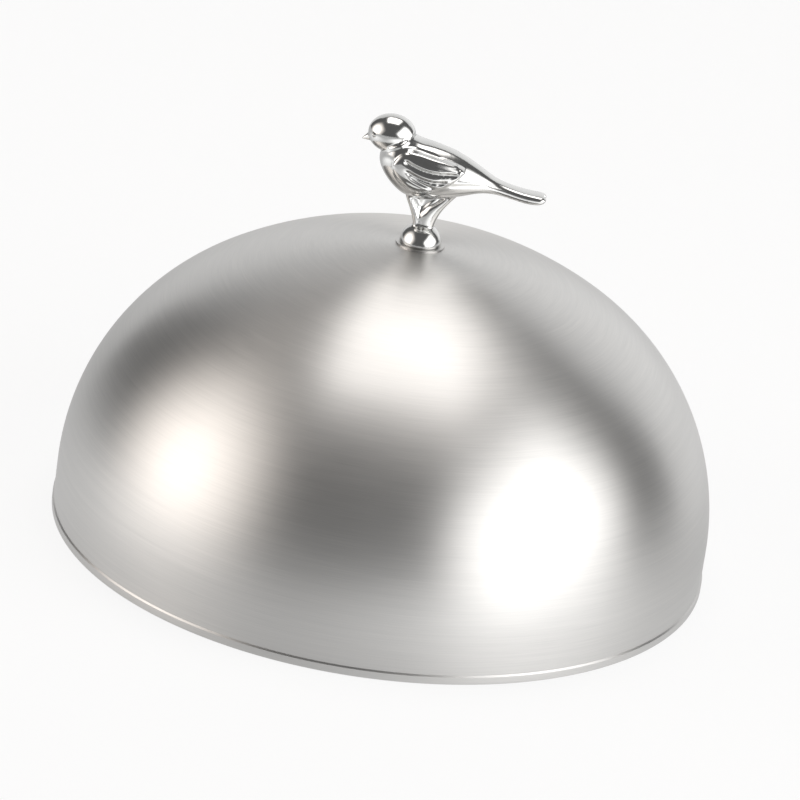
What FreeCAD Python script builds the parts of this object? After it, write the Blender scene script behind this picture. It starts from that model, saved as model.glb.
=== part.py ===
import FreeCAD, Part
import math
import os

# A melting dome: a cover of brushed sheet steel that is set down over food on a
# hot surface, and lifted by a cast songbird that is screwed to its crown.
# Millimetres. The origin is the centre of the plane that the rim rests on,
# +Z is up, and the bird looks along -X.

# Dome, all sizes on the outside of the sheet
dome_diameter = 240.0      # across the straight skirt
skirt_height = 15.2        # from the table to where the shoulder starts to turn
shoulder_radius = 93.0     # arc that turns the skirt into the crown
shoulder_turn = 56.58      # degrees that the shoulder turns before the flatter crown takes over
sheet = 0.6                # thickness of the steel
hem_height = 2.8           # height of the rim that is folded inwards
hem_step = 0.45            # how far the folded rim stands out past the skirt
hem_slope = 0.6            # height in which that step is made
rim_edge_radius = 0.3      # rounding of the fold's two lower edges
seat_radius = 9.7          # flat pressed into the crown for the handle

# Handle fastening
seat_washer_radius = 8.9
seat_washer_thickness = 0.6
screw_radius = 2.0         # outside of the thread
screw_clearance = 0.2      # round the screw, in the sheet and the washers
thread_clearance = 0.02    # round the screw, in the tapped hole
thread_depth = 6.2         # how far the screw reaches into the foot
hole_beyond_screw = 0.9    # blind end of the tapped hole
inner_washer_radius = 6.0
inner_washer_thickness = 0.8
lock_washer_width = 1.4    # radial width of the split ring
lock_washer_thickness = 0.9
lock_washer_gap = 0.7      # width of the split
lock_washer_slant = 20.0   # degrees between the split and the axis
screw_head_radius = 4.0
screw_head_height = 2.6
screw_head_edge = 0.9      # rounding of the pan head
recess_length = 4.4        # cross recess, tip to tip
recess_width = 0.9
recess_depth = 1.5

# Bird: every point of its drawing follows the length
bird_length = 68.3         # beak tip to tail end
foot_radius = 7.65         # half-round foot
body_half_width = 9.8      # at the breast
head_radius = 7.0          # across the head
eye_radius = 0.85
wing_rise = 1.0            # how far a folded wing stands out of the body
wing_depth = 10.0          # of the wing's own form, most of it inside the body
feather_groove = 0.55      # width of a groove between two feathers
feather_groove_depth = 0.4
leg_thickness = 5.0        # of the legs, across the bird
web_thickness = 2.2        # of the web between the legs
tail_notch = 1.6           # length of the notch between the tail's two lobes
tail_notch_width = 1.1

X = FreeCAD.Vector(1, 0, 0)
Y = FreeCAD.Vector(0, 1, 0)
Z = FreeCAD.Vector(0, 0, 1)

dome_radius = dome_diameter / 2
screw_hole_radius = screw_radius + screw_clearance

# The shoulder and the crown share a tangent, so their centres fix each other
join_angle = math.radians(shoulder_turn)
shoulder_x = dome_radius - shoulder_radius
crown_radius = shoulder_radius + shoulder_x / math.cos(join_angle)
crown_z = skirt_height - shoulder_x * math.tan(join_angle)
seat_z = crown_z + math.sqrt(crown_radius ** 2 - seat_radius ** 2)

washer_top_z = seat_z + seat_washer_thickness
inner_washer_z = seat_z - sheet - inner_washer_thickness
lock_washer_z = inner_washer_z - lock_washer_thickness
head_top_z = lock_washer_z
foot_z = washer_top_z

# The drawing of the bird, in its own millimetres: x from the foot's axis
# towards the tail, z up from the foot's lower face.
# Each row of a form is one section: the point where it starts, the point where
# it ends, the half width as a share of the form's own, and how square it is.
body_sections = [
    ((-18.1, 35.0), (-8.6, 40.5), 0.77, 2.0),
    ((-18.6, 33.2), (-6.8, 40.0), 0.81, 2.0),
    ((-18.8, 30.0), (-4.6, 39.2), 0.89, 2.0),
    ((-17.0, 25.8), (-1.8, 38.7), 0.96, 2.0),
    ((-13.2, 21.3), (1.8, 38.0), 1.00, 2.0),
    ((-7.6, 17.9), (5.4, 37.1), 1.00, 2.0),
    ((-0.5, 17.7), (9.0, 35.9), 0.95, 2.0),
    ((6.5, 18.9), (12.8, 34.3), 0.85, 2.0),
    ((12.5, 20.5), (16.4, 32.4), 0.70, 2.0),
    ((18.0, 22.3), (20.2, 30.2), 0.54, 2.1),
    ((22.8, 22.9), (24.0, 28.1), 0.43, 2.3),
    ((27.5, 22.5), (28.3, 26.7), 0.39, 2.6),
    ((33.0, 21.6), (33.6, 25.6), 0.40, 2.8),
    ((38.6, 21.3), (39.0, 25.1), 0.42, 2.8),
    ((41.2, 21.9), (41.4, 24.8), 0.39, 2.4),
    ((42.3, 22.9), (42.3, 24.1), 0.28, 2.0),
]
wing_sections = [
    ((-13.6, 29.0), (-13.6, 32.8), 0.87, 2.0),
    ((-12.6, 26.4), (-12.6, 35.4), 0.93, 2.3),
    ((-9.6, 23.4), (-9.6, 37.0), 0.98, 2.6),
    ((-4.5, 21.6), (-4.5, 36.7), 1.00, 3.0),
    ((1.0, 22.6), (1.0, 35.8), 1.00, 3.0),
    ((6.0, 25.6), (6.0, 34.7), 0.94, 3.0),
    ((10.0, 28.9), (10.0, 33.5), 0.86, 2.6),
    ((12.0, 31.0), (12.0, 32.6), 0.79, 2.0),
]
front_leg_sections = [
    ((-8.6, 20.0), (-5.2, 19.6), 0.9, 2.4),
    ((-6.6, 15.0), (-3.8, 15.0), 0.8, 2.4),
    ((-4.9, 11.2), (-1.9, 11.6), 0.9, 2.4),
    ((-3.6, 5.6), (-1.5, 5.6), 1.0, 2.4),
]
rear_leg_sections = [
    ((6.2, 19.6), (11.4, 20.4), 0.9, 2.4),
    ((2.0, 15.4), (6.9, 14.6), 0.9, 2.4),
    ((-1.5, 11.9), (4.9, 10.6), 1.0, 2.4),
    ((-1.1, 5.6), (3.8, 5.6), 1.1, 2.4),
]
web_outline = [(-6.5, 20.0), (8.5, 20.0), (1.0, 8.0), (-2.6, 8.0)]
head_centre = (-15.6, 39.8)
head_half_length = 8.55
beak_sections = [
    ((-21.0, 38.9), 3.1),
    ((-22.4, 38.3), 2.25),
    ((-23.7, 37.6), 1.55),
    ((-25.2, 36.8), 0.7),
    ((-26.0, 36.3), 0.25),
]
eye_place = (-21.9, 40.0)
feather_grooves = [
    [(-9.4, 33.4), (-4.8, 31.3), (1.4, 30.2), (9.4, 30.6)],
    [(-8.0, 29.6), (-3.4, 27.7), (1.0, 26.7), (5.6, 26.9)],
    [(-8.3, 26.4), (-5.0, 25.1), (-1.6, 24.3), (1.8, 24.3)],
]

# The drawing's length is that of the beak's tip and the tail's end in it
figure = bird_length / (body_sections[-1][1][0] - beak_sections[-1][0][0])


def drawn(x, z, y=0.0):
    """A point of the bird's drawing, in the model; y is a real size across the bird."""
    return FreeCAD.Vector(x * figure, y, foot_z + z * figure)


def ring(inner, outer, low, high):
    """A flat ring about the axis."""
    solid = Part.makeCylinder(outer, high - low, FreeCAD.Vector(0, 0, low))
    return solid.cut(Part.makeCylinder(inner, high - low, FreeCAD.Vector(0, 0, low)))


def arc_point(centre_x, centre_z, radius, angle):
    return FreeCAD.Vector(centre_x + radius * math.cos(angle), 0, centre_z + radius * math.sin(angle))


def wall_edges(inset):
    """Skirt, shoulder and crown of one face of the sheet, from the hem up to the flat seat."""
    shoulder = shoulder_radius - inset
    crown = crown_radius - inset
    seat_rise = seat_z - inset - crown_z
    seat_angle = math.asin(seat_rise / crown)
    skirt_top = arc_point(shoulder_x, skirt_height, shoulder, 0)
    meeting = arc_point(shoulder_x, skirt_height, shoulder, join_angle)
    seat_edge = arc_point(0, crown_z, crown, seat_angle)
    shoulder_middle = arc_point(shoulder_x, skirt_height, shoulder, join_angle / 2)
    crown_middle = arc_point(0, crown_z, crown, (join_angle + seat_angle) / 2)
    edges = [
        Part.Arc(skirt_top, shoulder_middle, meeting).toShape(),
        Part.Arc(meeting, crown_middle, seat_edge).toShape(),
    ]
    return skirt_top, edges, seat_edge


def dome_shell():
    """One sheet: crown, shoulder, skirt and a rim folded flat against the inside."""
    outer_skirt, outer_edges, outer_seat = wall_edges(0)
    inner_skirt, inner_edges, inner_seat = wall_edges(sheet)
    rim_out = dome_radius + hem_step
    rim_in = rim_out - 2 * sheet
    fold_top = hem_height
    step_top = hem_height + hem_slope
    edge = rim_edge_radius
    slant = math.sqrt(0.5) * edge
    outline = [
        Part.makeLine((screw_hole_radius, 0, seat_z), outer_seat),
        outer_edges[1],
        outer_edges[0],
        Part.makeLine(outer_skirt, (dome_radius, 0, step_top)),
        Part.makeLine((dome_radius, 0, step_top), (rim_out, 0, fold_top)),
        Part.makeLine((rim_out, 0, fold_top), (rim_out, 0, edge)),
        Part.Arc(
            FreeCAD.Vector(rim_out, 0, edge),
            FreeCAD.Vector(rim_out - edge + slant, 0, edge - slant),
            FreeCAD.Vector(rim_out - edge, 0, 0),
        ).toShape(),
        Part.makeLine((rim_out - edge, 0, 0), (rim_in + edge, 0, 0)),
        Part.Arc(
            FreeCAD.Vector(rim_in + edge, 0, 0),
            FreeCAD.Vector(rim_in + edge - slant, 0, edge - slant),
            FreeCAD.Vector(rim_in, 0, edge),
        ).toShape(),
        Part.makeLine((rim_in, 0, edge), (rim_in, 0, fold_top)),
        Part.makeLine((rim_in, 0, fold_top), (dome_radius - sheet, 0, step_top)),
        Part.makeLine((dome_radius - sheet, 0, step_top), inner_skirt),
        inner_edges[0],
        inner_edges[1],
        Part.makeLine(inner_seat, (screw_hole_radius, 0, seat_z - sheet)),
        Part.makeLine((screw_hole_radius, 0, seat_z - sheet), (screw_hole_radius, 0, seat_z)),
    ]
    section = Part.Face(Part.Wire(outline))
    return section.revolve(FreeCAD.Vector(0, 0, 0), Z, 360)


def section_wire(centre, up, side, square):
    """A closed section with its half height and half width as vectors, round or squarer."""
    count = 12
    points = []
    for step in range(count):
        angle = 2 * math.pi * step / count
        share_up = math.copysign(abs(math.cos(angle)) ** (2 / square), math.cos(angle))
        share_side = math.copysign(abs(math.sin(angle)) ** (2 / square), math.sin(angle))
        points.append(centre + up * share_up + side * share_side)
    curve = Part.BSplineCurve()
    curve.interpolate(Points=points, PeriodicFlag=True, Parameters=[float(step) for step in range(count + 1)])
    return Part.Wire(curve.toShape())


def form_along(rows, half_width):
    """A form that is the same on both sides of the bird's middle plane."""
    wires = []
    for first, last, share, square in rows:
        start = drawn(*first)
        end = drawn(*last)
        wires.append(section_wire((start + end) * 0.5, (end - start) * 0.5, Y * (share * half_width), square))
    return Part.makeLoft(wires, True, False)


def wing_form(side, sunk=0.0):
    """A folded wing: a leaf-shaped pillow on one side of the body, sunk evenly where asked."""
    wires = []
    for first, last, share, square in wing_sections:
        start = drawn(*first)
        end = drawn(*last)
        half_height = (end - start) * 0.5
        outer = share * body_half_width + wing_rise - sunk
        middle = (start + end) * 0.5 + Y * (side * (outer - wing_depth / 2))
        wires.append(section_wire(middle, half_height, Y * (wing_depth / 2), square))
    return Part.makeLoft(wires, True, False)


def head_form():
    """An egg-shaped head, round about the line of the bird's length."""
    middle = drawn(*head_centre)
    ellipse = Part.Ellipse(middle, head_half_length * figure, head_radius)
    ellipse.rotate(FreeCAD.Placement(middle, FreeCAD.Rotation(X, 90), FreeCAD.Vector(0, 0, 0)))
    profile = Part.ArcOfEllipse(ellipse, 0, math.pi)
    ends = [profile.EndPoint, profile.StartPoint]
    face = Part.Face(Part.Wire([profile.toShape(), Part.makeLine(*ends)]))
    return face.revolve(middle, X, 360)


def beak_form():
    wires = []
    for place, radius in beak_sections:
        wires.append(Part.Wire(Part.makeCircle(radius * figure, drawn(*place), X)))
    return Part.makeLoft(wires, True, False)


def eye_forms():
    """Two small beads, half sunk into the sides of the head."""
    along = (eye_place[0] - head_centre[0]) / head_half_length
    up = (eye_place[1] - head_centre[1]) * figure / head_radius
    side = head_radius * math.sqrt(1 - along ** 2 - up ** 2)
    return [Part.makeSphere(eye_radius, drawn(*eye_place, y), Y) for y in (-side, side)]


def groove_band(points):
    """A narrow band along a feather's edge, as a wire in the bird's middle plane."""
    curve = Part.BSplineCurve()
    curve.interpolate([drawn(*point) for point in points])
    first = curve.FirstParameter
    last = curve.LastParameter
    sides = ([], [])
    count = 6
    for step in range(count + 1):
        at = first + (last - first) * step / count
        direction = curve.tangent(at)[0]
        across = FreeCAD.Vector(-direction.z, 0, direction.x) * (feather_groove / 2)
        sides[0].append(curve.value(at) + across)
        sides[1].append(curve.value(at) - across)
    upper = Part.BSplineCurve()
    upper.interpolate(sides[0])
    lower = Part.BSplineCurve()
    lower.interpolate(sides[1])
    return Part.Wire([
        upper.toShape(),
        Part.makeLine(sides[0][-1], sides[1][-1]),
        lower.toShape(),
        Part.makeLine(sides[1][0], sides[0][0]),
    ])


def feathered_wing(side):
    """One wing, with the grooves between its feathers."""
    wing = wing_form(side)
    floor = wing_form(side, feather_groove_depth)
    for points in feather_grooves:
        slot = Part.Face(groove_band(points)).extrude(Y * (side * 2 * body_half_width))
        wing = wing.cut(slot.cut(floor))
    return wing


def web_form():
    """The thin web that fills the angle between the legs."""
    corners = [drawn(*point) for point in web_outline]
    web = Part.Face(Part.makePolygon(corners + corners[:1])).extrude(Y * web_thickness)
    web.translate(Y * (-web_thickness / 2))
    return web


def foot_form():
    """The half-round foot."""
    ball = Part.makeSphere(foot_radius, FreeCAD.Vector(0, 0, foot_z), Z, 0, 90, 360)
    return ball


def tail_notch_cut():
    """The notch that parts the tail's end into two lobes."""
    tip = drawn(*body_sections[-1][1])
    corners = [
        FreeCAD.Vector(tip.x - tail_notch, 0, foot_z),
        FreeCAD.Vector(tip.x + tail_notch, -tail_notch_width, foot_z),
        FreeCAD.Vector(tip.x + tail_notch, tail_notch_width, foot_z),
    ]
    return Part.Face(Part.makePolygon(corners + corners[:1])).extrude(Z * (2 * (tip.z - foot_z)))


def bird_handle():
    """One casting: bird, legs, web and foot, with a blind tapped hole from below."""
    bird = form_along(body_sections, body_half_width).cut(tail_notch_cut())
    head = head_form()
    for form in eye_forms() + [beak_form()]:
        head = head.fuse(form)
    legs = [
        form_along(front_leg_sections, leg_thickness / 2),
        form_along(rear_leg_sections, leg_thickness / 2),
        web_form(),
    ]
    wings = [feathered_wing(-1), feathered_wing(1)]
    for form in [head, foot_form()] + legs + wings:
        bird = bird.fuse(form)
    hole_depth = thread_depth + hole_beyond_screw
    hole_radius = screw_radius + thread_clearance
    hole = Part.makeCylinder(hole_radius, hole_depth, FreeCAD.Vector(0, 0, foot_z))
    drill_point = Part.makeCone(hole_radius, 0, hole_radius / 2, FreeCAD.Vector(0, 0, foot_z + hole_depth))
    return bird.cut(hole.fuse(drill_point))


def seat_washer():
    return ring(screw_hole_radius, seat_washer_radius, seat_z, washer_top_z)


def inner_washer():
    return ring(screw_hole_radius, inner_washer_radius, inner_washer_z, inner_washer_z + inner_washer_thickness)


def lock_washer():
    """A square-section ring with one slanted split, pressed flat by the screw."""
    outer = screw_hole_radius + lock_washer_width
    washer = ring(screw_hole_radius, outer, lock_washer_z, inner_washer_z)
    split = Part.makeBox(2 * outer, lock_washer_gap, 6 * lock_washer_thickness)
    split.translate(FreeCAD.Vector(0, -lock_washer_gap / 2, -3 * lock_washer_thickness))
    split.rotate(FreeCAD.Vector(0, 0, 0), X, lock_washer_slant)
    split.translate(Z * (lock_washer_z + lock_washer_thickness / 2))
    return washer.cut(split)


def handle_screw():
    """A pan-head machine screw with a cross recess, its head towards the food."""
    head = Part.makeCylinder(screw_head_radius, screw_head_height, FreeCAD.Vector(0, 0, head_top_z - screw_head_height))
    lower = [edge for edge in head.Edges if edge.BoundBox.ZMax < head_top_z - screw_head_height / 2]
    lower = [edge for edge in lower if edge.Closed and edge.BoundBox.ZLength < 1e-6]
    head = head.makeFillet(screw_head_edge, lower)
    tip_z = foot_z + thread_depth
    shank = Part.makeCylinder(screw_radius, tip_z - head_top_z, FreeCAD.Vector(0, 0, head_top_z))
    tip = [edge for edge in shank.Edges if edge.Closed and edge.BoundBox.ZMin > tip_z - 1e-6]
    shank = shank.makeChamfer(screw_radius / 5, tip)
    screw = head.fuse(shank)
    floor_z = head_top_z - screw_head_height
    for turn in (0, 90):
        slot = Part.makeBox(recess_length, recess_width, recess_depth)
        slot.translate(FreeCAD.Vector(-recess_length / 2, -recess_width / 2, floor_z))
        slot.rotate(FreeCAD.Vector(0, 0, 0), Z, turn)
        screw = screw.cut(slot)
    return screw


def build():
    return {
        "dome_shell": dome_shell(),
        "bird_handle": bird_handle(),
        "seat_washer": seat_washer(),
        "inner_washer": inner_washer(),
        "lock_washer": lock_washer(),
        "handle_screw": handle_screw(),
    }


if __name__ == "__main__":
    os.makedirs("parts", exist_ok=True)
    for name, shape in build().items():
        print(name, shape.ShapeType, len(shape.Solids), "valid", shape.isValid(), "volume", round(shape.Volume, 2))
        shape.exportStep("parts/" + name + ".step")
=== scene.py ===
# %% [markdown]
# # A brushed melting dome with a polished songbird
#
# The object is a cover of sheet steel that a cook sets down over food, with a small
# cast bird on its crown to lift it by. The dome is satin: it was turned against an
# abrasive belt, so its scratches run round it in rings and smear every light into a
# soft streak. The bird is the opposite: a plated casting, polished like a mirror.
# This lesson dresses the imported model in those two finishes, in a plain studio.
#
# We start by loading the model as a fixed frame. All lengths are metres.

# %% Load the frame
import math
import bpy
from mathutils import Matrix, Vector


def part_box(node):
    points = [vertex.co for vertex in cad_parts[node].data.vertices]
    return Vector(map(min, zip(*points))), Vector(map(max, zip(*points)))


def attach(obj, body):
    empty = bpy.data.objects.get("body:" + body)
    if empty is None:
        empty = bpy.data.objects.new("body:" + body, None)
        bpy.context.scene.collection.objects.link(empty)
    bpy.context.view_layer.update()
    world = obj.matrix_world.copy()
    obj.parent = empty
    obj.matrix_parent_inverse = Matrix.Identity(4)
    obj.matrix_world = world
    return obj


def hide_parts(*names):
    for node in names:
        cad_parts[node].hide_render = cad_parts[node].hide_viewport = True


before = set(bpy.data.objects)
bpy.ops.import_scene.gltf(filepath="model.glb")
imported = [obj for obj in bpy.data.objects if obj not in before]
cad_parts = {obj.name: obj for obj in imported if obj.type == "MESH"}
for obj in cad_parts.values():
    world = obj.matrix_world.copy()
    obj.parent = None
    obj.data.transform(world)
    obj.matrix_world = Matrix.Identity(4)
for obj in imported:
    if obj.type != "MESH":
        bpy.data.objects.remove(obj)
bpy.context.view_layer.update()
scene = bpy.context.scene
dome_low, dome_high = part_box("dome_shell")
bird_low, bird_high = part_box("bird_handle")
print("nodes", sorted(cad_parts))
for name, low, high in (("dome", dome_low, dome_high), ("bird", bird_low, bird_high)):
    print(name, "from", tuple(round(value, 4) for value in low), "to", tuple(round(value, 4) for value in high))

# %% [markdown]
# ## The camera
#
# A product photograph like this is taken from far away with a long lens, which is
# why the rim looks nearly like a true ellipse. The camera stands a little above the
# dome and is rolled, so the dome's axis leans to the right in the picture.
# We build its three axes by hand and put them in a matrix: that keeps the roll exact.
# The two aims slide the camera sideways and upwards, without turning it.

# %% Camera
VIEW_ELEVATION = math.radians(23.11)
VIEW_ROLL = math.radians(8.365)
VIEW_DISTANCE = 1.92
AIM_RIGHT = 0.0083
AIM_UP = 0.04936
LENS_MM = 234.56
SENSOR_MM = 36.0


def camera_axes(elevation, roll):
    back = Vector((0, -math.cos(elevation), math.sin(elevation)))
    right = Vector((1, 0, 0))
    up = back.cross(right)
    rolled_right = right * math.cos(roll) + up * math.sin(roll)
    rolled_up = up * math.cos(roll) - right * math.sin(roll)
    return rolled_right, rolled_up, back


def add_camera():
    right, up, back = camera_axes(VIEW_ELEVATION, VIEW_ROLL)
    place = back * VIEW_DISTANCE + right * AIM_RIGHT + up * AIM_UP
    data = bpy.data.cameras.new("camera")
    data.lens = LENS_MM
    data.sensor_width = SENSOR_MM
    camera = bpy.data.objects.new("camera", data)
    scene.collection.objects.link(camera)
    axes = Matrix((right, up, back)).transposed().to_4x4()
    camera.matrix_world = Matrix.Translation(place) @ axes
    scene.camera = camera
    return camera


camera = add_camera()
print("camera at", tuple(round(value, 3) for value in camera.matrix_world.translation))

# %% [markdown]
# ## Helpers for modelling by hand
#
# Operators act on whatever is selected, so each step starts from a clean selection.
# A turned section is drawn with two moves only: a straight one, which extrudes the
# last point, and a round one, which spins it about the centre of an arc.

# %% Modelling helpers
SAME_PLACE = 0.000002


def only(piece):
    """Selects one piece and nothing else, in object mode."""
    if bpy.context.object and bpy.context.object.mode != "OBJECT":
        bpy.ops.object.mode_set(mode="OBJECT")
    bpy.ops.object.select_all(action="DESELECT")
    bpy.context.view_layer.objects.active = piece
    piece.select_set(True)


def start_point(name, place):
    """A new mesh of a single vertex, in edit mode, made by collapsing a plane."""
    bpy.ops.object.select_all(action="DESELECT")
    bpy.ops.mesh.primitive_plane_add(size=0.001, location=place)
    piece = bpy.context.object
    piece.name = name
    bpy.ops.object.transform_apply(location=True)
    bpy.ops.object.mode_set(mode="EDIT")
    bpy.ops.mesh.select_all(action="SELECT")
    bpy.ops.mesh.merge(type="CENTER")
    return piece


def straight(move):
    """Draws the section on by one straight line."""
    bpy.ops.mesh.extrude_vertices_move(TRANSFORM_OT_translate={"value": move})


def round_about(centre, degrees, steps):
    """Draws the section on by an arc about a centre."""
    bpy.ops.mesh.spin(steps=steps, angle=-math.radians(degrees), center=centre, axis=(0, 1, 0))


def apply_modifiers(piece):
    only(piece)
    for modifier in list(piece.modifiers):
        bpy.ops.object.modifier_apply(modifier=modifier.name)


def count_triangles(piece):
    return sum(len(face.vertices) - 2 for face in piece.data.polygons)


# %% [markdown]
# ## The dome
#
# The real dome is one disc of sheet, pressed and spun: a flat crown arc, a tighter
# shoulder arc, a short straight skirt, and a rim that is folded inwards so no cut
# edge shows. We draw that section once, both faces of the sheet and the fold, and
# spin it about the axis, with enough steps that its reflections show no facets.
#
# The section starts at the screw hole, follows the outside down to the rim, turns
# inwards with the fold, and follows the inside back up to the hole. The spin closes
# it into one solid sheet.

# %% Dome section
RIM_RADIUS = dome_high.x
SEAT_HEIGHT = dome_high.z
SKIRT_HEIGHT = 0.0152
SHOULDER_RADIUS = 0.093
SHOULDER_TURN = 56.58
SHEET = 0.0006
HEM_HEIGHT = 0.0028
HEM_STEP = 0.00045
HEM_SLOPE = 0.0006
HEM_EDGE = 0.0003
HOLE_RADIUS = 0.0022
SEAT_RADIUS = 0.0097
ROUND_STEPS = 288
CROWN_STEPS = 26
SHOULDER_STEPS = 44
SKIRT_STEPS = 3
EDGE_STEPS = 4
SHARP_EDGE = math.radians(35)

DOME_RADIUS = RIM_RADIUS - HEM_STEP
SHOULDER_X = DOME_RADIUS - SHOULDER_RADIUS
CROWN_Z = SKIRT_HEIGHT - SHOULDER_X * math.tan(math.radians(SHOULDER_TURN))
CROWN_RADIUS = SHOULDER_RADIUS + SHOULDER_X / math.cos(math.radians(SHOULDER_TURN))


def seat_angle(inset):
    """Degrees above the horizon, seen from the crown's centre, where the flat seat starts."""
    return math.degrees(math.asin((SEAT_HEIGHT - inset - CROWN_Z) / (CROWN_RADIUS - inset)))


def draw_dome_section():
    crown_centre = (0, 0, CROWN_Z)
    shoulder_centre = (SHOULDER_X, 0, SKIRT_HEIGHT)
    piece = start_point("dome", (HOLE_RADIUS, 0, SEAT_HEIGHT))
    seat_edge = CROWN_RADIUS * math.cos(math.radians(seat_angle(0)))
    straight((seat_edge - HOLE_RADIUS, 0, 0))
    round_about(crown_centre, seat_angle(0) - SHOULDER_TURN, CROWN_STEPS)
    round_about(shoulder_centre, SHOULDER_TURN, SHOULDER_STEPS)
    for step in range(SKIRT_STEPS):
        straight((0, 0, -(SKIRT_HEIGHT - HEM_HEIGHT - HEM_SLOPE) / SKIRT_STEPS))
    straight((HEM_STEP, 0, -HEM_SLOPE))
    straight((0, 0, -(HEM_HEIGHT - HEM_EDGE)))
    round_about((RIM_RADIUS - HEM_EDGE, 0, HEM_EDGE), 90, EDGE_STEPS)
    straight((-(2 * SHEET - 2 * HEM_EDGE), 0, 0))
    round_about((RIM_RADIUS - 2 * SHEET + HEM_EDGE, 0, HEM_EDGE), 90, EDGE_STEPS)
    straight((0, 0, HEM_HEIGHT - HEM_EDGE))
    straight((SHEET - HEM_STEP, 0, HEM_SLOPE))
    for step in range(SKIRT_STEPS):
        straight((0, 0, (SKIRT_HEIGHT - HEM_HEIGHT - HEM_SLOPE) / SKIRT_STEPS))
    round_about(shoulder_centre, -SHOULDER_TURN, SHOULDER_STEPS)
    round_about(crown_centre, -(seat_angle(SHEET) - SHOULDER_TURN), CROWN_STEPS)
    inner_edge = (CROWN_RADIUS - SHEET) * math.cos(math.radians(seat_angle(SHEET)))
    straight((HOLE_RADIUS - inner_edge, 0, 0))
    straight((0, 0, SHEET))
    return piece


def turn_dome():
    piece = draw_dome_section()
    bpy.ops.mesh.select_all(action="SELECT")
    bpy.ops.mesh.spin(steps=ROUND_STEPS, angle=math.tau, center=(0, 0, 0), axis=(0, 0, 1))
    bpy.ops.mesh.select_all(action="SELECT")
    bpy.ops.mesh.remove_doubles(threshold=SAME_PLACE)
    bpy.ops.mesh.normals_make_consistent(inside=False)
    bpy.ops.object.mode_set(mode="OBJECT")
    only(piece)
    bpy.ops.object.shade_smooth_by_angle(angle=SHARP_EDGE)
    return piece


dome = turn_dome()
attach(dome, "root")
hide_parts("dome_shell")
dome_points = [vertex.co for vertex in dome.data.vertices]
print("dome triangles", count_triangles(dome), "high", max(point.z for point in dome_points),
      "half width", max(point.x for point in dome_points))

# %% [markdown]
# ## The bird
#
# The casting has soft inner corners and no sharp edge anywhere, because the mould
# and the polishing wheel round everything off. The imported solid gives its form, with
# every edge crisp. A voxel remesh wraps a copy of it in one even skin, and smoothing
# then does what the polisher does: ridges and grooves keep their place, but lose
# their edge.

# %% Even skin and polish
MM = 0.001
SKIN_VOXEL = 0.25 * MM
FIRST_POLISH = 6


def copy_of_node(node_name, name):
    """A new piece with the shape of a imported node, which itself stays as it is."""
    piece = bpy.data.objects.new(name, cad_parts[node_name].data.copy())
    scene.collection.objects.link(piece)
    only(piece)
    bpy.ops.object.mode_set(mode="EDIT")
    bpy.ops.mesh.select_all(action="SELECT")
    bpy.ops.mesh.remove_doubles(threshold=SAME_PLACE)
    bpy.ops.object.mode_set(mode="OBJECT")
    return piece


def even_skin(piece, voxel):
    remesh = piece.modifiers.new("even skin", "REMESH")
    remesh.mode = "VOXEL"
    remesh.voxel_size = voxel
    apply_modifiers(piece)


def polish(piece, turns, where=""):
    """Smooths the whole piece, or only where a vertex group has weight."""
    smooth = piece.modifiers.new("polish", "SMOOTH")
    smooth.factor = 0.5
    smooth.iterations = turns
    smooth.vertex_group = where
    apply_modifiers(piece)


bird = copy_of_node("bird_handle", "songbird")
even_skin(bird, SKIN_VOXEL)
polish(bird, FIRST_POLISH)
print("bird skin", count_triangles(bird), "triangles")

# %% [markdown]
# ## Feathers, folds and eyes
#
# The pattern maker drew the feathers with a gouge: soft strokes that sink in, run
# along the wing and run out again. Cutting such strokes with a Boolean leaves torn
# edges, so we press them in. Each stroke is a smooth line, drawn on the side view of
# the bird and laid on its skin with a Shrinkwrap. The skin near the line is found by
# its distance, and a Displace moves it in for a groove or out for a raised rim, most
# on the line and nothing at the stroke's reach. Where a stroke runs out, its line
# lifts off the skin, so the mark fades just as the gouge's does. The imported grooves
# are narrow and even, so they are smoothed away first, each along its own line.
#
# The side view is measured in millimetres: x from the foot's axis towards the tail,
# z up from the foot's lower face. Each row of STROKES has its lines, then the reach
# and the depth in millimetres. A negative depth raises the skin.

# %% Strokes
FOOT_Z = bird_low.z
BESIDE_BIRD = 30 * MM
RUNS_OUT = (1.0, 0.15, 0.0, 0.0, 0.15, 1.0)
NEAR = "near"
PACKED_GROOVES = [
    [(-9.4, 33.4), (-4.8, 31.3), (1.4, 30.2), (9.4, 30.6)],
    [(-8.0, 29.6), (-3.4, 27.7), (1.0, 26.7), (5.6, 26.9)],
    [(-8.3, 26.4), (-5.0, 25.1), (-1.6, 24.3), (1.8, 24.3)],
]
FEATHERS = [
    [(-10.6, 34.6), (-9.4, 33.4), (-4.8, 31.3), (1.4, 30.2), (9.4, 30.6), (10.8, 30.9)],
    [(-9.8, 30.6), (-8.0, 29.4), (-3.4, 27.7), (1.0, 26.9), (5.6, 27.0), (7.4, 27.4)],
    [(-8.9, 29.4), (-6.9, 28.1), (-4.2, 26.7), (-1.3, 25.6), (1.6, 24.6), (2.8, 24.3)],
]
FEATHER_EDGES = [
    [(-9.4, 34.6), (-4.8, 32.3), (1.4, 31.3), (6.4, 31.4)],
    [(-8.0, 30.4), (-3.4, 28.6), (1.0, 27.8), (5.0, 27.8)],
]
WING_FRONT = [
    (-8.5, 36.7), (-10.4, 36.5), (-12.2, 35.0), (-13.5, 32.6), (-13.9, 30.1),
    (-13.2, 28.1), (-11.8, 26.7), (-10.1, 25.1), (-8.1, 23.3),
]
WING_TOP = [(-10.1, 38.1), (-6.2, 37.7), (-2.1, 36.7), (0.5, 36.1), (3.5, 35.5)]
WING_SHOULDER = [(-8.0, 36.9), (-4.0, 36.1), (0.1, 35.1), (4.1, 34.5), (9.0, 33.8)]
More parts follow.
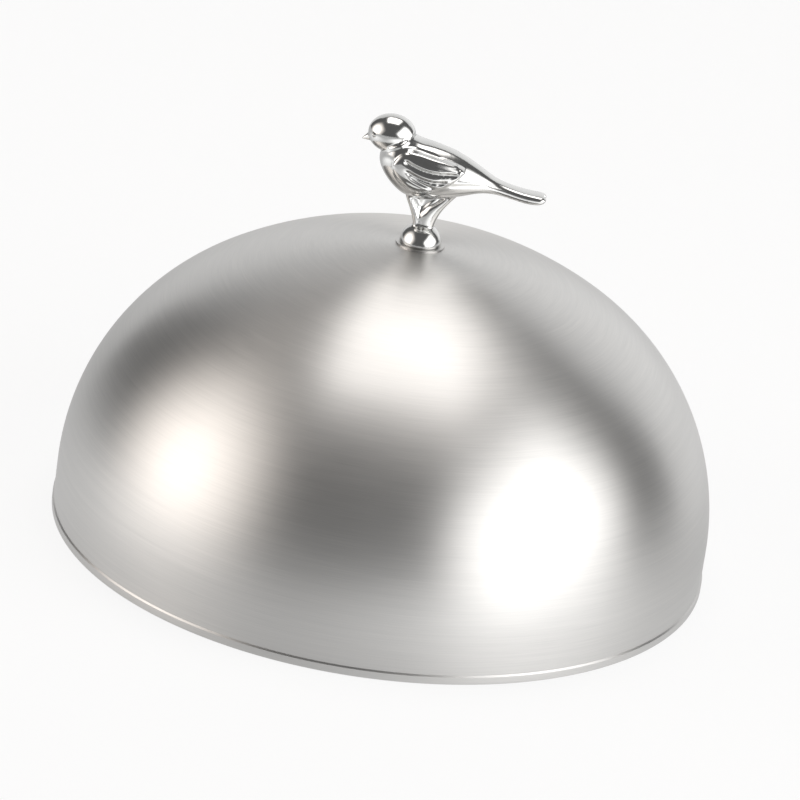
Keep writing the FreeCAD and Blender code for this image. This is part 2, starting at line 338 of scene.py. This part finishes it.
WING_RIM = [(10.9, 32.6), (10.9, 31.4), (10.3, 30.2), (8.7, 28.8), (7.0, 27.3), (5.2, 25.8), (3.8, 24.7)]
BELLY_LINE = [(6.0, 25.6), (10.0, 26.3), (16.0, 26.6), (23.0, 26.2)]
STEM_LINE = [(-1.7, 12.2), (-1.65, 10.0), (-1.5, 7.0)]
COLLAR = [(-18.4, 34.6), (-16.0, 36.1), (-13.6, 37.5), (-11.6, 38.2), (-9.5, 39.7), (-7.7, 41.4)]
POCKET = [(-1.3, 12.6), (-0.9, 14.8), (-0.4, 17.0), (0.0, 19.2)]
POCKET_SIDES = [
    [(-4.9, 17.8), (-3.5, 15.0), (-1.7, 12.2)],
    [(-1.7, 12.2), (1.5, 15.2), (4.6, 18.6)],
]
SOFTENED = [
    (PACKED_GROOVES, 2.8, 40),
    ([BELLY_LINE, STEM_LINE, COLLAR], 2.4, 25),
]
STROKES = [
    ([POCKET], 2.6, 0.5),
    ([WING_RIM], 1.3, -0.50),
    ([COLLAR], 1.3, -0.35),
    (FEATHER_EDGES + [WING_SHOULDER], 1.3, -0.22),
    (FEATHERS, 1.4, 0.6),
    ([WING_TOP], 1.0, 0.4),
    ([WING_FRONT], 0.8, 0.2),
    ([BELLY_LINE], 1.3, 0.26),
    (POCKET_SIDES, 1.0, -0.30),
]


def lay_line(points, side, reach):
    """A line on one side of the bird, lifted off the skin by its reach at both ends."""
    curve = bpy.data.curves.new("stroke", "CURVE")
    curve.dimensions = "3D"
    spline = curve.splines.new("NURBS")
    spline.points.add(len(points) - 1)
    for point, (x, z) in zip(spline.points, points):
        point.co = (x * MM, side * BESIDE_BIRD, FOOT_Z + z * MM, 1)
    spline.order_u = 3
    spline.use_endpoint_u = True
    spline.resolution_u = 8
    line = bpy.data.objects.new("stroke", curve)
    scene.collection.objects.link(line)
    only(line)
    bpy.ops.object.convert(target="MESH")
    wrap = line.modifiers.new("lay on the skin", "SHRINKWRAP")
    wrap.target = bird
    wrap.wrap_method = "PROJECT"
    wrap.use_project_y = True
    wrap.use_positive_direction = side < 0
    wrap.use_negative_direction = side > 0
    apply_modifiers(line)
    last = len(line.data.vertices) - 1
    for place, vertex in enumerate(line.data.vertices):
        along = place / last * (len(RUNS_OUT) - 1)
        step = min(int(along), len(RUNS_OUT) - 2)
        lift = RUNS_OUT[step] + (RUNS_OUT[step + 1] - RUNS_OUT[step]) * (along - step)
        vertex.co.y += side * lift * reach
    return line


def join(pieces):
    only(pieces[0])
    for piece in pieces[1:]:
        piece.select_set(True)
    bpy.ops.object.join()
    return pieces[0]


def mark_near(piece, lines, reach):
    """Makes the vertex group NEAR, which is 1 on the lines and 0 at their reach."""
    piece.vertex_groups.clear()
    piece.vertex_groups.new(name=NEAR).add(range(len(piece.data.vertices)), 1.0, "REPLACE")
    near = piece.modifiers.new("near the lines", "VERTEX_WEIGHT_PROXIMITY")
    near.vertex_group = NEAR
    near.target = lines
    near.proximity_mode = "GEOMETRY"
    near.proximity_geometry = {"EDGE"}
    near.min_dist = reach
    near.max_dist = 0
    near.falloff_type = "SMOOTH"
    apply_modifiers(piece)


def soften(piece, lines, reach, turns):
    """Smooths the skin along the lines."""
    lines = join(lines)
    mark_near(piece, lines, reach)
    polish(piece, turns, NEAR)
    piece.vertex_groups.clear()
    bpy.data.objects.remove(lines)


def press(piece, lines, reach, depth):
    """Sinks the skin along the lines by depth. A negative depth raises it."""
    lines = join(lines)
    mark_near(piece, lines, reach)
    push = piece.modifiers.new("press", "DISPLACE")
    push.vertex_group = NEAR
    push.direction = "NORMAL"
    push.mid_level = 0
    push.strength = -depth
    apply_modifiers(piece)
    piece.vertex_groups.clear()
    bpy.data.objects.remove(lines)


def on_both_sides(strokes, reach):
    return [lay_line(points, side, reach) for points in strokes for side in (-1, 1)]


for lines, reach, turns in SOFTENED:
    soften(bird, on_both_sides(lines, 0), reach * MM, turns)
for lines, reach, depth in STROKES:
    press(bird, on_both_sides(lines, reach * MM), reach * MM, depth * MM)
print("strokes pressed in")

# %% [markdown]
# The eye is a low bead in a ring-shaped furrow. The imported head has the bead, which
# we soften, and the furrow is one more line: a small circle that faces out of the
# head along its egg shape. A last polish goes over the whole bird.

# %% Eyes
EYE_PLACE = Vector((-21.9, -4.73, 40.0))
HEAD_CENTRE = Vector((-15.6, 0, 39.8))
HEAD_HALF_LENGTH = 8.55
HEAD_RADIUS = 7.0
EYE_RADIUS = 1.0
EYE_CORNERS = 24
EYE_SOFTENED_REACH = 2.4 * MM
EYE_SOFTENING = 25
FURROW_REACH = 0.6 * MM
FURROW_DEPTH = 0.1 * MM
LAST_POLISH = 6


def eye_circle(side):
    """A circle round one eye, square to the egg-shaped head."""
    place = Vector((EYE_PLACE.x, -side * EYE_PLACE.y, EYE_PLACE.z))
    out = place - HEAD_CENTRE
    normal = Vector((out.x / HEAD_HALF_LENGTH ** 2, out.y / HEAD_RADIUS ** 2, out.z / HEAD_RADIUS ** 2))
    bpy.ops.object.select_all(action="DESELECT")
    bpy.ops.mesh.primitive_circle_add(
        vertices=EYE_CORNERS,
        radius=EYE_RADIUS * MM,
        location=place * MM + Vector((0, 0, FOOT_Z)),
        rotation=normal.to_track_quat("Z", "Y").to_euler(),
    )
    bpy.ops.object.transform_apply(location=True, rotation=True)
    return bpy.context.object


soften(bird, [eye_circle(side) for side in (-1, 1)], EYE_SOFTENED_REACH, EYE_SOFTENING)
press(bird, [eye_circle(side) for side in (-1, 1)], FURROW_REACH, FURROW_DEPTH)
polish(bird, LAST_POLISH)
bpy.ops.object.shade_smooth()
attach(bird, "root")
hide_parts("bird_handle")
print("bird triangles", count_triangles(bird))

# %% [markdown]
# ## A small language for shaders
#
# A shader's arithmetic is easier to read as arithmetic. `Value` wraps one socket and
# adds a Math node for each operator, so `1 - mask` is one Math node. `Nodes` adds any
# other node by its type, in a material, a lamp or the world, and `Finish` is such a
# material with its metal shader ready.

# %% Values
class Value:
    """One output socket, ready for arithmetic."""

    def __init__(self, tree, socket):
        self.tree = tree
        self.socket = socket

    def output(self, name):
        """Another output of the same node."""
        return Value(self.tree, self.socket.node.outputs[name])

    def math(self, operation, *others, first=False):
        node = self.tree.nodes.new("ShaderNodeMath")
        node.operation = operation
        operands = list(others) + [self] if first else [self] + list(others)
        for slot, operand in zip(node.inputs, operands):
            plug(self.tree, operand, slot)
        return Value(self.tree, node.outputs[0])

    def __add__(self, other):
        return self.math("ADD", other)

    __radd__ = __add__

    def __sub__(self, other):
        return self.math("SUBTRACT", other)

    def __rsub__(self, other):
        return self.math("SUBTRACT", other, first=True)

    def __mul__(self, other):
        return self.math("MULTIPLY", other)

    __rmul__ = __mul__

    def __truediv__(self, other):
        return self.math("DIVIDE", other)

    def __rtruediv__(self, other):
        return self.math("DIVIDE", other, first=True)

    def __pow__(self, other):
        return self.math("POWER", other)


def plug(tree, source, slot):
    if isinstance(source, Value):
        tree.links.new(source.socket, slot)
    else:
        slot.default_value = source


# %% Nodes
class Nodes:
    """The nodes of one material, lamp or world."""

    def __init__(self, tree):
        self.tree = tree

    def node(self, kind, settings=None, values=None, output=0):
        """Adds a node: its settings first, then the values or links of its sockets."""
        node = self.tree.nodes.new("ShaderNode" + kind)
        for name, value in (settings or {}).items():
            setattr(node, name, value)
        for name, value in (values or {}).items():
            plug(self.tree, value, node.inputs[name])
        return Value(self.tree, node.outputs[output]) if node.outputs else None

    def parts(self, vector):
        split = self.node("SeparateXYZ", values={0: vector})
        return [split.output(axis) for axis in "XYZ"]

    def place(self):
        """The point's own x, y and z in metres."""
        return self.parts(self.node("TexCoord", output="Object"))

    def vector(self, x, y, z):
        return self.node("CombineXYZ", values={0: x, 1: y, 2: z})

    def noise(self, where, scale=1.0, detail=2.0):
        return self.node("TexNoise", values={"Vector": where, "Scale": scale, "Detail": detail})

    def between(self, value, low, high, at_low, at_high):
        """Maps one range of numbers to another, softly at both ends."""
        settings = {"interpolation_type": "SMOOTHSTEP"}
        values = {"Value": value, "From Min": low, "From Max": high, "To Min": at_low, "To Max": at_high}
        return self.node("MapRange", settings, values)

    def blend(self, factor, low, high):
        """A colour between two others."""
        return self.node("Mix", {"data_type": "RGBA"}, {0: factor, 6: low, 7: high}, output=2)

    def bump(self, height, strength, distance):
        return self.node("Bump", values={"Strength": strength, "Distance": distance, "Height": height})

    def mix(self, factor, low, high):
        """A shader between two others."""
        return self.node("MixShader", values={0: factor, 1: low, 2: high})


class Finish(Nodes):
    """A material with a Principled shader."""

    def __init__(self, name, **constants):
        self.material = bpy.data.materials.new(name)
        self.material.use_nodes = True
        super().__init__(self.material.node_tree)
        self.shader = self.tree.nodes["Principled BSDF"]
        self.set(**constants)

    def set(self, **inputs):
        """Sets the shader's sockets. An underscore in a name stands for a space."""
        for name, value in inputs.items():
            plug(self.tree, value, self.shader.inputs[name.replace("_", " ")])


print("shader helpers ready")

# %% [markdown]
# ## Brushed steel
#
# The belt leaves scratches that run round the dome. They have two looks: close by,
# faint rings of lighter and darker metal; from a step away, highlights that smear
# up and down the dome and stay narrow sideways. The first comes from noise that is
# stretched along the rings. The second is the shader's anisotropy, turned a quarter
# so it smears across the scratches.
#
# The noise reads a point's direction round the axis, times a small number, and its
# height as an angle, times a large one. That stretches each speck into a long arc.

# %% Brushed steel
STEEL_LIGHT = (0.655, 0.645, 0.63, 1)
STEEL_DARK = (0.565, 0.56, 0.55, 1)
FINE_ROUND, FINE_RINGS = 5, 420
BROAD_ROUND, BROAD_RINGS = 2, 70
CLOUD_SCALE = 18
NOT_ZERO = 1e-8


def brushed_steel(name):
    finish = Finish(name, Metallic=1.0, Anisotropic=0.76, Anisotropic_Rotation=0.25)
    x, y, z = finish.place()
    radius = (x * x + y * y + NOT_ZERO) ** 0.5
    around_x = x / radius
    around_y = y / radius
    latitude = z.math("ARCTAN2", radius)
    fine_place = finish.vector(around_x * FINE_ROUND, around_y * FINE_ROUND, latitude * FINE_RINGS)
    broad_place = finish.vector(around_x * BROAD_ROUND, around_y * BROAD_ROUND, latitude * BROAD_RINGS)
    fine = finish.noise(fine_place, detail=3)
    broad = finish.noise(broad_place, detail=2)
    cloud = finish.noise(finish.vector(x, y, z), scale=CLOUD_SCALE, detail=2)
    tone = fine * 0.55 + broad * 0.3 + cloud * 0.15
    finish.set(
        Base_Color=finish.blend((tone - 0.3) * 2.2, STEEL_DARK, STEEL_LIGHT),
        Roughness=0.30 + fine * 0.09 + cloud * 0.05,
        Normal=finish.bump(fine, 0.12, 0.00006),
    )
    return finish.material


dome_finish = brushed_steel("brushed dome steel")
dome.data.materials.clear()
dome.data.materials.append(dome_finish)

# %% [markdown]
# ## Polished plating
#
# Chrome over a polished casting is a mirror with very little of its own: a slightly
# dark silver, almost no roughness, and the gentle waviness that a polishing wheel
# leaves.

# %% Chrome
CHROME = (0.74, 0.74, 0.73, 1)
CHROME_DULL = (0.66, 0.66, 0.65, 1)
WAVE_SCALE = 260
HAZE_SCALE = 900


def polished_chrome(name):
    finish = Finish(name, Metallic=1.0)
    x, y, z = finish.place()
    wave = finish.noise(finish.vector(x, y, z), scale=WAVE_SCALE, detail=1)
    haze = finish.noise(finish.vector(x, y, z), scale=HAZE_SCALE, detail=3)
    finish.set(
        Base_Color=finish.blend(haze, CHROME_DULL, CHROME),
        Roughness=0.105 + haze * 0.05,
        Normal=finish.bump(wave, 0.05, 0.0002),
    )
    return finish.material


bird.data.materials.clear()
bird.data.materials.append(polished_chrome("polished chrome"))

# %% [markdown]
# ## Washers and screw
#
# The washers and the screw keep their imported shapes. The washer under the foot is
# seen against the dome and has the dome's own satin. The ones inside are plain
# stainless fasteners, with a fine even grain.

# %% Fasteners
FASTENER_LIGHT = (0.66, 0.66, 0.65, 1)
FASTENER_DARK = (0.5, 0.5, 0.49, 1)


def fastener_steel(name, roughness):
    finish = Finish(name, Metallic=1.0)
    x, y, z = finish.place()
    grain = finish.noise(finish.vector(x * 900, y * 900, z * 300), detail=2)
    finish.set(
        Base_Color=finish.blend(grain, FASTENER_DARK, FASTENER_LIGHT),
        Roughness=roughness + grain * 0.12,
    )
    return finish.material


def dress(node_name, material):
    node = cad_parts[node_name]
    node.data.materials.clear()
    node.data.materials.append(material)


dress("seat_washer", brushed_steel("washer satin"))
dress("inner_washer", fastener_steel("washer steel", 0.24))
screw_finish = fastener_steel("screw steel", 0.3)
for node_name in ("lock_washer", "handle_screw"):
    dress(node_name, screw_finish)
print("finishes", [material.name for material in bpy.data.materials])

# %% [markdown]
# ## The studio
#
# Shiny metal shows the room more than itself, so the room is part of the finish.
# Three soft boxes give the three soft patches on the dome and the small bright
# windows on the bird's head: one overhead and a little behind, one at each side.
# The cloth of a soft box is brightest in its middle and fades towards its frame, so
# each lamp has a small shader that does the same across its face.

# %% Lights
STUDIO_CENTRE = Vector((0, 0, 0.12))


def towards(azimuth, elevation):
    """A direction: azimuth 0 is the camera's side, +90 is +X."""
    a = math.radians(azimuth)
    e = math.radians(elevation)
    return Vector((math.sin(a) * math.cos(e), -math.cos(a) * math.cos(e), math.sin(e)))


def fade_towards_frame(data, margin):
    """The lamp's strength: full in the middle and none at the frame."""
    data.use_nodes = True
    lamp = Nodes(data.node_tree)
    across, along = lamp.parts(lamp.node("NewGeometry", output="Parametric"))[:2]
    strength = 1.0
    for place in (across, along):
        from_frame = place.math("MINIMUM", 1 - place)
        strength = lamp.between(from_frame, 0.0, margin, 0.0, 1.0) * strength
    plug(lamp.tree, strength, lamp.tree.nodes["Emission"].inputs["Strength"])


def soft_box(
    name, azimuth, elevation, lean, distance, width_degrees, height_degrees, brightness, margin, colour,
):
    """A rectangular lamp that faces the object. Brightness 1 is white paper."""
    width = 2 * distance * math.tan(math.radians(width_degrees / 2))
    height = 2 * distance * math.tan(math.radians(height_degrees / 2))
    data = bpy.data.lights.new(name, "AREA")
    data.shape = "RECTANGLE"
    data.size = width
    data.size_y = height
    data.energy = brightness * math.pi * width * height
    data.color = colour
    lamp = bpy.data.objects.new(name, data)
    scene.collection.objects.link(lamp)
    direction = towards(azimuth, elevation)
    place = STUDIO_CENTRE + direction * distance
    facing = direction.to_track_quat("Z", "Y").to_matrix().to_4x4()
    lamp.matrix_world = Matrix.Translation(place) @ facing @ Matrix.Rotation(math.radians(lean), 4, "Z")
    lamp.visible_camera = False
    fade_towards_frame(data, margin)
    print(name, "at", tuple(round(value, 2) for value in place), "size", round(width, 2), round(height, 2))
    return lamp


WARM = (1.0, 0.935, 0.88)
SLIGHTLY_WARM = (1.0, 0.97, 0.945)
DAYLIGHT = (1.0, 0.99, 0.98)
soft_box(
    "left soft box", azimuth=-75, elevation=13, lean=-25, distance=1.5,
    width_degrees=80, height_degrees=84, brightness=2.9, margin=0.5, colour=WARM,
)
soft_box(
    "right soft box", azimuth=60, elevation=17, lean=27, distance=1.5,
    width_degrees=82, height_degrees=66, brightness=2.75, margin=0.3, colour=DAYLIGHT,
)
soft_box(
    "overhead soft box", azimuth=172, elevation=80, lean=0, distance=1.4,
    width_degrees=48, height_degrees=50, brightness=2.9, margin=0.2, colour=SLIGHTLY_WARM,
)

# %% [markdown]
# The floor has to do three things: look white to the camera, keep the object's
# shadow, and show in the metal as the pale sheet that it is. Light Path tells the
# rays apart. What the metal sees of the paper is painted light: a painted brightness that fades outwards, and
# painted pools of lamp light, each a spot with its radius and its strength. From behind, the paper is
# clear to the camera, so a view from the back or from below still shows the object.

# %% Floor and backdrop
PAPER_WHITE = (0.9, 0.9, 0.9, 1)
FLOOR_SIZE = 8
FLOOR_HEIGHT = -0.0002
# Painted pools of light on the floor, seen only in the metal: each a spot, its radius and its strength.
PAINTED_FLOOR_POOLS = [
    ((0.22, -0.32, 0.0), 0.40, 1.5),
    ((-0.36, -0.08, 0.0), 0.36, 0.8),
    ((0.40, 0.30, 0.0), 0.5, 0.5),
]
# A painted pool of light on the backdrop, seen only in the metal.
PAINTED_BACKDROP_POOLS = [((0.8, 1.3, 0.2), 2.0, 0.35)]


def paper(name, camera_share, shine, far_shine, fade_from, fade_to, painted_pools):
    """White paper. The camera sees it mostly as plain white; the metal sees a painted brightness that fades
    outwards, plus painted pools of light.
    """
    material = bpy.data.materials.new(name)
    material.use_nodes = True
    sheet = Nodes(material.node_tree)
    sheet.tree.nodes.clear()
    rays = sheet.node("LightPath", output="Is Camera Ray")
    by_metal = rays.output("Is Glossy Ray").math("MAXIMUM", rays.output("Is Transmission Ray"))
    here = sheet.node("TexCoord", output="Object")
    distance = sheet.node("VectorMath", {"operation": "LENGTH"}, {0: here}, "Value")
    # Painted light: the brightness the metal sees fades from shine to far_shine, and each painted pool adds a
    # bright spot.
    painted_brightness = sheet.between(distance, fade_from, fade_to, shine, far_shine)
    for spot, radius, strength in painted_pools:
        away = sheet.node("VectorMath", {"operation": "DISTANCE"}, {0: here, 1: spot}, "Value")
        painted_brightness = painted_brightness + sheet.between(away, 0.0, radius, strength, 0.0)
    matt = sheet.node("BsdfDiffuse", values={"Color": PAPER_WHITE})
    white = sheet.node("Emission", values={"Strength": 1.0})
    # The paper as the metal sees it is painted light, not light from the lamps.
    painted_paper_light = sheet.node("Emission", values={"Strength": painted_brightness})
    by_camera = sheet.mix(rays * camera_share, matt, white)
    front = sheet.mix(by_metal, by_camera, painted_paper_light)
    seen_from_behind = rays * sheet.node("NewGeometry", output="Backfacing")
    clear = sheet.node("BsdfTransparent")
    sheet.node("OutputMaterial", values={"Surface": sheet.mix(seen_from_behind, front, clear)})
    return material


def add_floor():
    """A wide sheet under the object."""
    bpy.ops.object.select_all(action="DESELECT")
    bpy.ops.mesh.primitive_plane_add(size=FLOOR_SIZE, location=(0, 0, FLOOR_HEIGHT))
    floor = bpy.context.object
    floor.name = "floor"
    floor.data.materials.append(paper(
        "floor paper", camera_share=0.85, shine=0.58, far_shine=0.1,
        fade_from=1.6, fade_to=2.8, painted_pools=PAINTED_FLOOR_POOLS,
    ))
    return floor


BACKDROP_Y = 1.3
BACKDROP_LEFT = -1.05
BACKDROP_RIGHT = 2.0
BACKDROP_HEIGHT = 1.65


def add_backdrop():
    """A tall sheet behind the object."""
    width = BACKDROP_RIGHT - BACKDROP_LEFT
    middle = ((BACKDROP_RIGHT + BACKDROP_LEFT) / 2, BACKDROP_Y, BACKDROP_HEIGHT / 2)
    bpy.ops.object.select_all(action="DESELECT")
    bpy.ops.mesh.primitive_plane_add(size=1, location=middle, rotation=(math.radians(90), 0, 0))
    sheet = bpy.context.object
    sheet.name = "backdrop"
    sheet.scale = (width, BACKDROP_HEIGHT, 1)
    bpy.ops.object.transform_apply(location=True, rotation=True, scale=True)
    sheet.data.materials.append(paper(
        "backdrop paper", camera_share=1.0, shine=0.72, far_shine=0.72,
        fade_from=5, fade_to=6, painted_pools=PAINTED_BACKDROP_POOLS,
    ))
    return sheet


floor = add_floor()
backdrop = add_backdrop()
print("floor and backdrop up")

# %% [markdown]
# Beyond the paper lies a dim room. It gives the metal its darker parts, between the
# soft boxes, and the camera sees it as plain white.

# %% World
ROOM_GREY = (0.12, 0.12, 0.12, 1)


def add_world():
    """A grey room, which the camera itself sees as white."""
    world = bpy.data.worlds.new("studio")
    world.use_nodes = True
    room = Nodes(world.node_tree)
    room.tree.nodes.clear()
    by_camera = room.node("LightPath", output="Is Camera Ray")
    grey = room.node("Background", values={"Color": ROOM_GREY})
    white = room.node("Background", values={"Color": (1, 1, 1, 1)})
    room.node("OutputWorld", values={"Surface": room.mix(by_camera, grey, white)})
    scene.world = world


add_world()
scene.view_settings.view_transform = "Standard"
